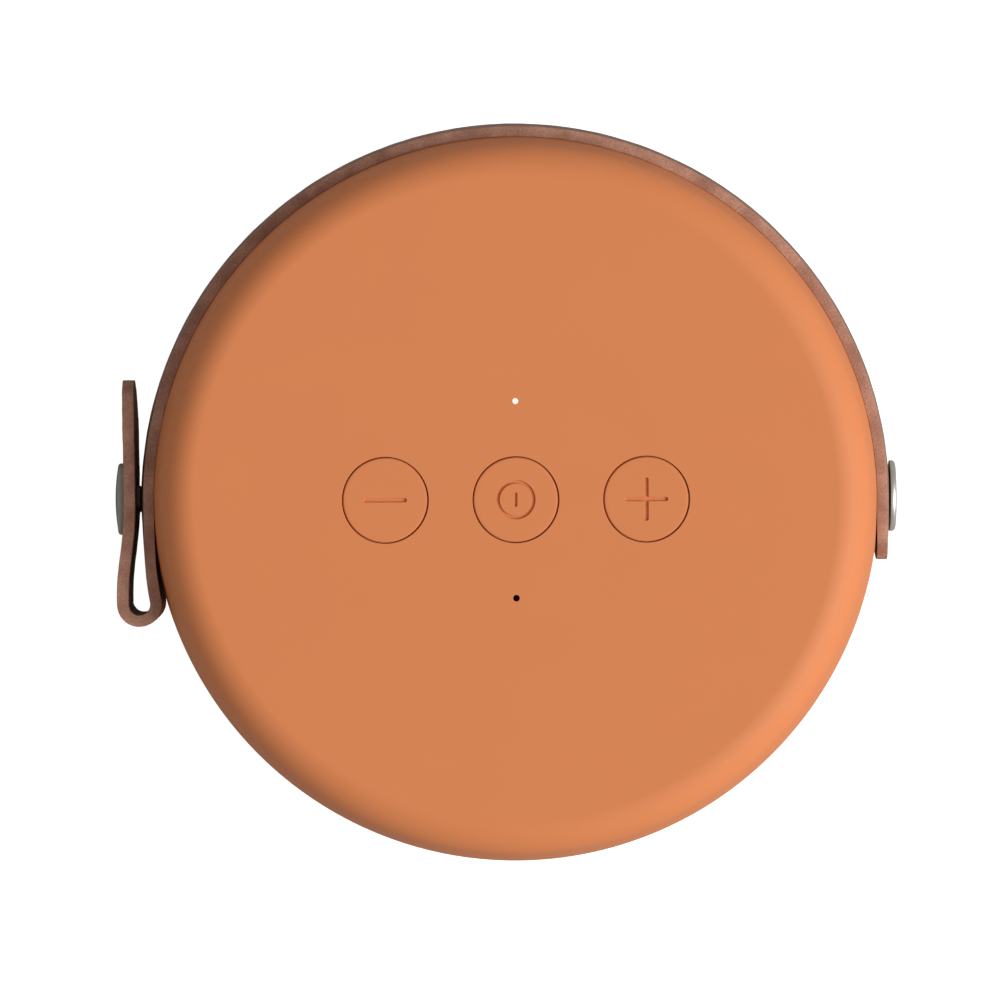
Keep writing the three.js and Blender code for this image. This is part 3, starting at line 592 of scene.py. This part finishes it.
def face_holes():
    """Cutters for the holes in the control face."""
    low = FACE_INSIDE - 1
    holes = [
        flared(HOLE_RADIUS, CAP_ROUND, low, BODY_DEPTH, centre_mm(f"button_{name}")) for name in BUTTONS
    ]
    holes.append(flared(LAMP_HOLE, 0.05, low, BODY_DEPTH, LAMP, 48))
    holes.append(flared(MICROPHONE_HOLE, 0.1, low, BODY_DEPTH, MICROPHONE, 48))
    return holes


def inner_holes():
    """Cutters for the pilot holes in the posts and the stepped bores through the bosses."""
    holes = []
    for posts in (SCREW_POSTS, BOARD_POSTS):
        profile = [(posts["pilot"], posts["low"] - 1), (posts["pilot"], posts["pilot_high"])]
        holes += [turned(profile, 24, corner) for corner in posts["corners"]]
    bore = [
        (STUD_BORE["insert"], STUD_BOSS["inner"] - 0.9),
        (STUD_BORE["insert"], STUD_BORE["insert_end"]),
        (STUD_BORE["shank"], STUD_BORE["insert_end"]),
        (STUD_BORE["shank"], BODY_RADIUS + 2),
    ]
    return holes + [turned(bore, 48, placed=sideways(side)) for side in (1, -1)]


def control_shell():
    """The cup with the control face and the rim."""
    shell = to_object("control_shell_fine", shell_blank())
    carve(shell, shell_posts(), "UNION")
    carve(shell, face_holes() + inner_holes() + [usb_cutter()])
    shade(shell, flat_faces=True)
    settle(shell, "housing", "shell", SLOT_MATERIALS["shell"], replaces=["control_shell"])


def rear_ring():
    """The ring behind the seam, round the grille."""
    opening = 54.3
    seat_low, seat_high = 1.85, 3.4  # of the step that the grille plate rests on
    seat_radius = 52.0
    seat_reach = FLAT_RADIUS + 2.9
    outside = skin(0, SEAM_BOTTOM - SEAM_ROUND, -1, 6, 16)
    lip = rounded([
        outside[0],
        (rim_radius(SEAM_BOTTOM), SEAM_BOTTOM, SEAM_CORNER),
        (rim_radius(SEAM_BOTTOM, WALL), SEAM_BOTTOM),
    ])[1:]
    inside = [p for p in skin(WALL, SEAM_BOTTOM, -1, 2, 8)[1:] if p[1] > seat_high]
    profile = rounded([(opening, seat_low), (opening, 0, 0.25), (FLAT_RADIUS, 0)])[1:-1]
    profile += outside[::-1] + lip + inside
    profile += [(seat_reach, seat_high), (seat_radius, seat_high)]
    profile += [(seat_radius, seat_low), (opening, seat_low)]
    ring = to_object("rear_ring_fine", turned(profile, SIDES, closed=True))
    shade(ring, flat_faces=True)
    settle(ring, "housing", "shell", SLOT_MATERIALS["shell"], replaces=["rear_ring"])


# ------------------------------------------------------------------ controls


def groove_levels():
    """How an engraved stroke widens from its floor up, as (growth, height) pairs: a rounded floor,
    steep walls and soft top edges."""
    top = BODY_DEPTH
    floor = top - ICON_DEPTH
    return [(-0.05, floor), (0, floor + 0.05), (0, top - 0.05), (0.03, top - 0.01), (0.09, top + 0.05)]


def groove(half_length, half_width, angle=0.0, centre=(0, 0)):
    """A cutter for a straight stroke."""
    turn = Matrix.Rotation(angle, 4, "Z")
    sections = []
    for grow, height in groove_levels():
        outline = [turn @ Vector((x, y, 0)) for x, y in stadium(half_length, half_width, grow)]
        sections.append([(centre[0] + p.x, centre[1] + p.y, height) for p in outline])
    bm = bmesh.new()
    loft(bm, sections)
    return bm


def ring_groove(inner, outer, centre):
    """A cutter for a round stroke."""
    inner_wall = [(inner - grow, height) for grow, height in reversed(groove_levels())]
    outer_wall = [(outer + grow, height) for grow, height in groove_levels()]
    return turned(inner_wall + outer_wall, SMALL_SIDES, centre, closed=True)


def icon_cutters(name, centre):
    """Cutters for the icon of a button."""
    stroke = (ICON_LENGTH / 2, ICON_WIDTH / 2)
    if name == "minus":
        return [groove(*stroke, centre=centre)]
    if name == "plus":
        return [groove(*stroke, centre=centre), groove(*stroke, angle=QUARTER, centre=centre)]
    bar = (POWER_BAR[0] / 2, POWER_BAR[1] / 2)
    return [ring_groove(*POWER_RING, centre), groove(*bar, angle=QUARTER, centre=centre)]


def button_cap(name, body):
    """A cap with its icon, its skirt just below the face and the flange that keeps it in."""
    low, high = box_mm(f"button_{name}")
    centre = (low + high) / 2
    plunger = 1.3
    flange = (high.x - low.x) / 2
    flange_low, flange_high = 38.2, 39.0
    flange_round = 0.15
    skirt = HOLE_RADIUS - SKIRT_GAP
    skirt_top = high.z - CAP_SKIRT
    profile = rounded([
        (plunger, low.z),
        (plunger, flange_low),
        (flange, flange_low, flange_round),
        (flange, flange_high, flange_round),
        (skirt, flange_high),
        (skirt, skirt_top, 0.1),
        (CAP_RADIUS, skirt_top),
        (CAP_RADIUS, high.z, CAP_ROUND),
        (CAP_RADIUS - 0.6, high.z),
    ])
    cap = to_object(f"cap_{name}", turned(profile, 128, centre))
    for cutter in icon_cutters(name, centre):
        carve(cap, [cutter])
    shade(cap, flat_faces=True)
    settle(cap, body, "shell", SLOT_MATERIALS["shell"], replaces=[f"button_{name}"])


def lamp():
    """The light pipe, whose domed end shows as a white dot."""
    low, high = box_mm("light_pipe")
    shaft = 1.2
    collar, collar_low, collar_high = 2, 38.8, 39.5
    lens_base, lens_rise = high.z - 0.15, 0.12
    lens = [
        (LENS_RADIUS * math.cos(a), lens_base + lens_rise * math.sin(a)) for a in (0, 0.3, 0.6, 0.9, 1.2)
    ]
    profile = [
        (shaft, low.z), (shaft, collar_low), (collar, collar_low), (collar, collar_high),
        (LENS_RADIUS, collar_high), *lens, (0, lens_base + lens_rise),
    ]
    pipe = to_object("lamp_lens", turned(profile, 48, LAMP))
    shade(pipe)
    settle(pipe, "housing", "clear_plastic", LAMP_WHITE, replaces=["light_pipe"])


def microphone_screen():
    """The fine mesh behind the microphone's hole, made near black as painted shade that keeps the hole dark."""
    radius = 1.5
    low = box_mm("mic_gasket")[1].z + 0.02
    high = low + 0.12
    profile = [(0, low), (radius, low), (radius, high), (0, high)]
    screen = to_object("mic_screen", turned(profile, 48, MICROPHONE))
    shade(screen)
    settle(screen, "housing", "black_plastic", SHADE_BLACK_MESH)


# ------------------------------------------------------------------ charging socket


def usb_sleeve():
    """The steel sleeve, open at the front, with a rounded lip."""
    low, high = box_mm("usb_port")
    wall = 0.3
    lip = 0.1
    levels = [
        (0, high.y), (0, low.y + lip), (-0.3 * lip, low.y + 0.3 * lip), (-lip, low.y),
        (lip - wall, low.y), (0.3 * lip - wall, low.y + 0.3 * lip), (-wall, low.y + lip),
        (-wall, high.y - 1),
    ]
    sleeve = to_object("usb_sleeve", slot_loft((high.x - low.x) / 2, (high.z - low.z) / 2, levels))
    shade(sleeve)
    settle(sleeve, "housing", "steel", SLOT_MATERIALS["steel"], replaces=["usb_port"])


def usb_tongue():
    """The tongue in the middle of the sleeve, with a bevelled tip."""
    low, high = box_mm("usb_port")
    levels = [(0, high.y - 0.9), (0, low.y + 0.75), (-0.12, low.y + 0.5)]
    tongue = to_object("usb_tongue", slot_loft(3.35, 0.35, levels, steps=6))
    shade(tongue)
    settle(tongue, "housing", "black_plastic", SLOT_MATERIALS["black_plastic"])


def usb_contacts():
    """Twelve brass contacts on each face of the tongue."""
    low, high = box_mm("usb_port")
    pitch = 0.5
    half_width = 0.12
    under, over = 0.3, 0.38  # distance of a contact's two faces from the tongue's middle
    contacts = []
    for i in range(12):
        left = (i - 5.5) * pitch - half_width
        right = left + 2 * half_width
        for side in (1, -1):
            inner = MID + side * under
            outer = MID + side * over
            bm = bmesh.new()
            loft(bm, [
                [(left, y, inner), (right, y, inner), (right, y, outer), (left, y, outer)]
                for y in (high.y - 1.2, low.y + 0.9)
            ])
            contacts.append(bm)
    pins = to_object("usb_contacts", combined(contacts))
    shade(pins)
    settle(pins, "housing", "brass", SLOT_MATERIALS["brass"])


# ------------------------------------------------------------------ leather strap


def smoothstep(value):
    value = min(max(value, 0), 1)
    return value * value * (3 - 2 * value)


LONG_STEPS = 12  # faces across each flat side of the leather, so that it can cup round the ball
ROUND_STEPS = 4  # faces round each of its four long edges
CUT_FACES = 2 * ROUND_STEPS + 1  # faces across a cut edge, with its two rounded corners


def band_section(half_width, inset):
    """Outline of the strap's cross-section: a cut edge, the grain side, the other cut edge, the back.
    Each point is a pair: how deep it lies in the leather, from 0 on the back to 1 on the grain side,
    and its place across the width."""
    across = half_width - inset
    back, face = inset, STRAP_THICKNESS - inset
    outline = rounded([
        (back, -across, BACK_EDGE), (face, -across, STRAP_EDGE),
        (face, across, STRAP_EDGE), (back, across, BACK_EDGE),
    ], ROUND_STEPS)
    filled = []
    for i, point in enumerate(outline):
        after = outline[(i + 1) % len(outline)]
        count = LONG_STEPS if i % (CUT_FACES + 1) == CUT_FACES else 1
        for j in range(count):
            depth = point[0] + (after[0] - point[0]) * j / count
            filled.append((depth / STRAP_THICKNESS, point[1] + (after[1] - point[1]) * j / count))
    return filled


PLAIN_SECTION = band_section(STRAP_HALF_WIDTH, 0)


def end_section(distance):
    """The cross-section at a distance from a strap end, which is half round."""
    short_of_middle = max(END_RADIUS - distance, 0)
    half_width = math.sqrt(END_RADIUS**2 - short_of_middle**2)
    into_edge = max(STRAP_EDGE - distance, 0)
    inset = STRAP_EDGE - math.sqrt(STRAP_EDGE**2 - into_edge**2)
    return band_section(max(half_width, 3 * STRAP_EDGE), inset)


def uneven(x, y, z):
    """Small handmade unevenness of the leather, in millimetres."""
    place = Vector((x, y, z))
    return 0.05 * noise.noise(place * 0.35) + 0.025 * noise.noise(place * 1.3)


def on_rim(angle, section):
    """The leather at an angle round the rim, cupped like the ball. Past the left stud it flattens,
    thickens and lifts off the rim on its way to the loop."""
    leaving = (angle - math.pi - LEAVE_ANGLE) / (LOOP_ANGLE - LEAVE_ANGLE)
    cup = 1 - smoothstep((angle - math.pi) / LOOP_ANGLE)
    thickness = STRAP_THICKNESS + (FOLD_THICKNESS - STRAP_THICKNESS) * smoothstep(leaving)
    to_loop = LOOP_CENTRE.length - LOOP_RADIUS - FOLD_THICKNESS / 2
    back = STRAP_IN + (to_loop - STRAP_IN) * max(leaving, 0) ** 2
    points = []
    for depth, s in section:
        ball = back + depth * thickness
        r = ball + cup * (math.sqrt(ball**2 - s**2) - ball)
        points.append((r * math.cos(angle), r * math.sin(angle), MID + s))
    return points


def on_tail(y, section):
    """The free end below the rivet, which keeps its cupped shape and curves in a little."""
    points = []
    for depth, s in section:
        ball = STRAP_IN + depth * STRAP_THICKNESS
        points.append((math.sqrt(ball**2 - s**2) - TAIL_BEND * y**2, y, MID + s))
    return points


def on_loop(angle, section):
    """The leather at an angle round the loop, with its back outside."""
    points = []
    for depth, s in section:
        r = LOOP_RADIUS + FOLD_THICKNESS * (0.5 - depth)
        points.append((LOOP_CENTRE.x + r * math.cos(angle), LOOP_CENTRE.y + r * math.sin(angle), MID + s))
    return points


def on_line(place, along, section):
    """The leather along a line: its back is to the left of the way the line goes."""
    left = Vector((-along.y, along.x))
    points = []
    for depth, s in section:
        point = place + left * FOLD_THICKNESS * (0.5 - depth)
        points.append((point.x, point.y, MID + s))
    return points


def end_distances():
    """Steps in from a strap end, close together near its tip."""
    steps = 22
    return [END_RADIUS * (1 - math.cos(QUARTER * i / steps)) for i in range(1, steps + 1)]


def leather_piece(name, sections):
    """Skins the sections, roughens the surface a little and marks what each face is painted with:
    material 0 on the two flat sides and 1 on the cut edge. The outermost sections stay as they are,
    so that neighbouring pieces meet."""
    bm = bmesh.new()
    loft(bm, sections)
    bm.normal_update()
    ring = len(sections[0])
    for vert in list(bm.verts)[ring:-ring]:
        vert.co += vert.normal * uneven(*(vert.co / MM)) * MM
    walls = ring * (len(sections) - 1)
    for i, face in enumerate(bm.faces):
        face.material_index = 1 if i >= walls or i % (ring // 2) < CUT_FACES else 0
    return to_object(name, bm)


def strap_piece():
    """The strap from its free end, past the rivet and over the rim, to the start of the loop."""
    sections = [on_tail(d - STRAP_TAIL, end_section(d)) for d in end_distances()]
    rest = STRAP_TAIL - END_RADIUS
    sections += [on_tail(-rest * (1 - i / 3), PLAIN_SECTION) for i in (1, 2)]
    rim_steps = 150
    sweep = math.pi + LOOP_ANGLE
    sections += [on_rim(sweep * i / rim_steps, PLAIN_SECTION) for i in range(rim_steps + 1)]
    strap = leather_piece("leather_strap", sections)
    stud_hole = [(2, 60), (2, 70)]
    carve(strap, [turned(stud_hole, 48, placed=sideways(side)) for side in (1, -1)])
    shade(strap, 40)
    settle(strap, "strap", "leather", *LEATHER, replaces=["strap_band"])


def loop_piece():
    """The loop under the left stud."""
    steps = 40
    sweep = math.pi + LOOP_ANGLE
    sections = [on_loop(LOOP_ANGLE - sweep * i / steps, PLAIN_SECTION) for i in range(steps + 1)]
    loop = leather_piece("leather_loop", sections)
    shade(loop, 40)
    for material in LEATHER:
        loop.data.materials.append(material)
    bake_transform(loop)


def bezier(a, b, c, d, t):
    """Place and direction at t on a cubic curve with these four control points."""
    u = 1 - t
    place = a * u**3 + b * 3 * u * u * t + c * 3 * u * t * t + d * t**3
    along = (b - a) * 3 * u * u + (c - b) * 6 * u * t + (d - c) * 3 * t * t
    return place, along.normalized()


def flap_middle(y):
    """The middle of the flap's leather at a height above the stud."""
    return Vector((FLAP_X - FLAP_LEAN * max(y, 0) ** 2, y))


def flap_piece():
    """The flap from the end of the loop, in a slight S up to the stud, to its tip."""
    steps = 20
    up = Vector((0, 1))
    start = Vector((LOOP_CENTRE.x - LOOP_RADIUS, LOOP_CENTRE.y))
    leaving = Vector((start.x - 0.15, 0.6 * start.y))
    arriving = Vector((FLAP_X, 0.45 * start.y))
    end = Vector((FLAP_X, FLAP_STRAIGHT_Y))
    sections = [
        on_line(*bezier(start, leaving, arriving, end, i / steps), PLAIN_SECTION) for i in range(steps + 1)
    ]
    straight = FLAP_TIP_Y - END_RADIUS - FLAP_STRAIGHT_Y
    for i in range(1, steps):
        sections.append(on_line(flap_middle(FLAP_STRAIGHT_Y + straight * i / steps), up, PLAIN_SECTION))
    for distance in reversed(end_distances()):
        sections.append(on_line(flap_middle(FLAP_TIP_Y - distance), up, end_section(distance)))
    flap = leather_piece("leather_flap", sections)
    socket_hole = [(3.9, 60), (3.9, 75)]
    carve(flap, [turned(socket_hole, 48, placed=sideways(-1))])
    shade(flap, 40)
    settle(flap, "flap", "leather", *LEATHER, replaces=["strap_flap"])


# ------------------------------------------------------------------ metal fittings


def dome(radius, base, rim, apex, shoulder):
    """The profile of a cap: an upright rim with rounded edges and a slightly domed crown. The rim's
    top edge ends at height rim, and the crown rises from there to apex."""
    foot = 0.1
    under = arc((radius - foot, base + foot), foot, -QUARTER, 0, 4)
    edge = arc((radius - shoulder, rim - shoulder), shoulder, 0, QUARTER, 8)
    steps = 11
    crown = []
    for i in reversed(range(steps)):
        t = i / steps
        crown.append((t * (radius - shoulder), apex - (apex - rim) * t**2))
    return under + edge + crown


def metal(name, profile, side, body, replaces, material=SLOT_MATERIALS["satin_metal"]):
    """A fitting turned about the line through both studs. Its heights are distances from the middle
    of the body, and it is a ring if neither end of the profile is on the line."""
    is_ring = profile[0][0] > 0 and profile[-1][0] > 0
    piece = to_object(name, turned(profile, SMALL_SIDES, closed=is_ring, placed=sideways(side)))
    shade(piece, 40)
    settle(piece, body, "satin_metal", material, replaces=[replaces])


def fittings():
    """The rivet on the right. On the left the stud, and the socket and cap that snap over it."""
    on_leather = STRAP_IN + STRAP_THICKNESS + 0.06  # just clear of the leather
    thread, shank = 1.15, 1.45
    inner_end, thread_end = 58.6, 63.6
    threaded = [(0, inner_end), (thread, inner_end), (thread, thread_end), (shank, thread_end + 0.4)]

    rivet_cap = dome(radius=6.35, base=on_leather, rim=67.95, apex=68.12, shoulder=0.68)
    metal("rivet", [*threaded, (shank, on_leather), *rivet_cap], 1, "housing", "strap_rivet")

    cap_base = 69.72
    snap_cap = dome(radius=6.4, base=cap_base, rim=70.95, apex=71.45, shoulder=0.5)
    # The snap cap takes the darker copy of the satin metal, painted shade for its side away from the light.
    metal("snap_cap_fine", [(0, cap_base), *snap_cap], -1, "flap", "snap_cap", SHADED_SATIN_METAL)

    collar, collar_top = 2.4, 67.95
    neck, neck_top = 1.5, 68.4
    head, stud_top = 1.95, 69.6
    stud = rounded([
        (shank, on_leather), (collar, on_leather, 0.15), (collar, collar_top, 0.15), (neck, collar_top),
        (neck, neck_top, 0.2), (head, 68.9, 0.3), (1.6, stud_top, 0.3),
    ])
    # The stud takes the nearly black metal, painted shade for the neck between strap and flap.
    metal("snap_stud_fine", [*threaded, *stud, (0, stud_top)], -1, "housing", "snap_stud", SHADE_DARK_METAL)

    inner, outer = 2.4, 3.6
    low, high = 68.1, 69.65
    socket = rounded([(inner, low, 0.15), (outer, low, 0.2), (outer, high, 0.2), (inner, high, 0.15)])
    # The socket takes the same nearly black metal, painted shade for the neck between strap and flap.
    metal("snap_socket_fine", socket, -1, "flap", "snap_socket", SHADE_DARK_METAL)


def grille():
    """The cloth disc, stretched flat against its plate, with its edge rounded."""
    low, high = box_mm("grille_cloth")
    radius = (high.x - low.x) / 2
    flat = radius - 3
    profile = rounded([(flat, high.z), (radius, high.z, 0.2), (radius, low.z, 0.3), (flat, low.z)])
    cloth = to_object("grille_cloth_fine", turned(profile, SIDES))
    shade(cloth, flat_faces=True)
    settle(cloth, "housing", "grille_cloth", SLOT_MATERIALS["grille_cloth"], replaces=["grille_cloth"])


# ------------------------------------------------------------------ stage, light and camera
# The lamp's and the camera's lengths are in metres.


def white_table():
    """A pale table. Its glow keeps shadows pale and is linked to itself, so it doesn't light the speaker."""
    reach = 3000
    bottom, top = -20, -0.2
    outline = four_corners(reach, reach)
    bm = bmesh.new()
    loft(bm, [[(x, y, z) for x, y in outline] for z in (bottom, top)])
    table = to_object("floor", bm)
    paper = Finish("white_paper", roughness=0.9, Emission_Strength=0.93, Specular_IOR_Level=0.1)
    paper.colour(paper.grain(80), (0.44, 0.44, 0.44), (0.46, 0.46, 0.46))
    paper.shader.inputs["Emission Color"].default_value = (1, 1, 1, 1)
    table.data.materials.append(paper.material)
    only_floor = bpy.data.collections.new("only_floor")
    only_floor.objects.link(table)
    table.light_linking.receiver_collection = only_floor


def key_light():
    """A large square lamp to the right of the speaker, facing it."""
    azimuth, elevation = math.radians(-14), math.radians(40)  # azimuth 0 is +X, turning towards +Y
    distance = 4
    light = bpy.data.lights.new("key", "AREA")
    light.shape = "SQUARE"
    light.size = 2.6
    light.energy = 165
    made = bpy.data.objects.new("key", light)
    bpy.context.scene.collection.objects.link(made)
    level = math.cos(elevation)
    way = Vector((math.cos(azimuth) * level, math.sin(azimuth) * level, math.sin(elevation)))
    made.location = way * distance
    made.rotation_euler = way.to_track_quat("Z", "Y").to_euler()


def surroundings():
    """Even white light from all round."""
    world = bpy.data.worlds.new("studio")
    world.use_nodes = True
    background = world.node_tree.nodes["Background"]
    background.inputs["Color"].default_value = (1, 1, 1, 1)
    background.inputs["Strength"].default_value = 0.36
    bpy.context.scene.world = world
    bpy.context.scene.view_settings.view_transform = "Standard"


def camera():
    """Looks almost straight down at the control face, from far enough away to flatten the view."""
    distance = 1.3
    frame_width = 0.17887  # what the picture spans at mid depth
    aim = Vector((-0.00272, -0.00047, MID * MM))
    offset = Vector((-0.0044, 0.0265, distance))  # a little to the left, and towards the strap
    lens = bpy.data.cameras.new("camera")
    lens.sensor_width = 36
    lens.lens = lens.sensor_width * distance / frame_width
    made = bpy.data.objects.new("camera", lens)
    bpy.context.scene.collection.objects.link(made)
    made.location = aim + offset
    tilt = Matrix.Rotation(math.atan2(-offset.y, distance), 4, "X")
    lean = Matrix.Rotation(math.atan2(offset.x, distance), 4, "Y")
    roll = Matrix.Rotation(math.radians(-0.27), 4, "Z")
    made.rotation_euler = (tilt @ lean @ roll).to_euler()
    bpy.context.scene.camera = made


camera()
key_light()
surroundings()
white_table()
dress_cad_nodes()
control_shell()
rear_ring()
for button, moving_body in BUTTONS.items():
    button_cap(button, moving_body)
lamp()
microphone_screen()
usb_sleeve()
usb_tongue()
usb_contacts()
strap_piece()
loop_piece()
flap_piece()
fittings()
grille()
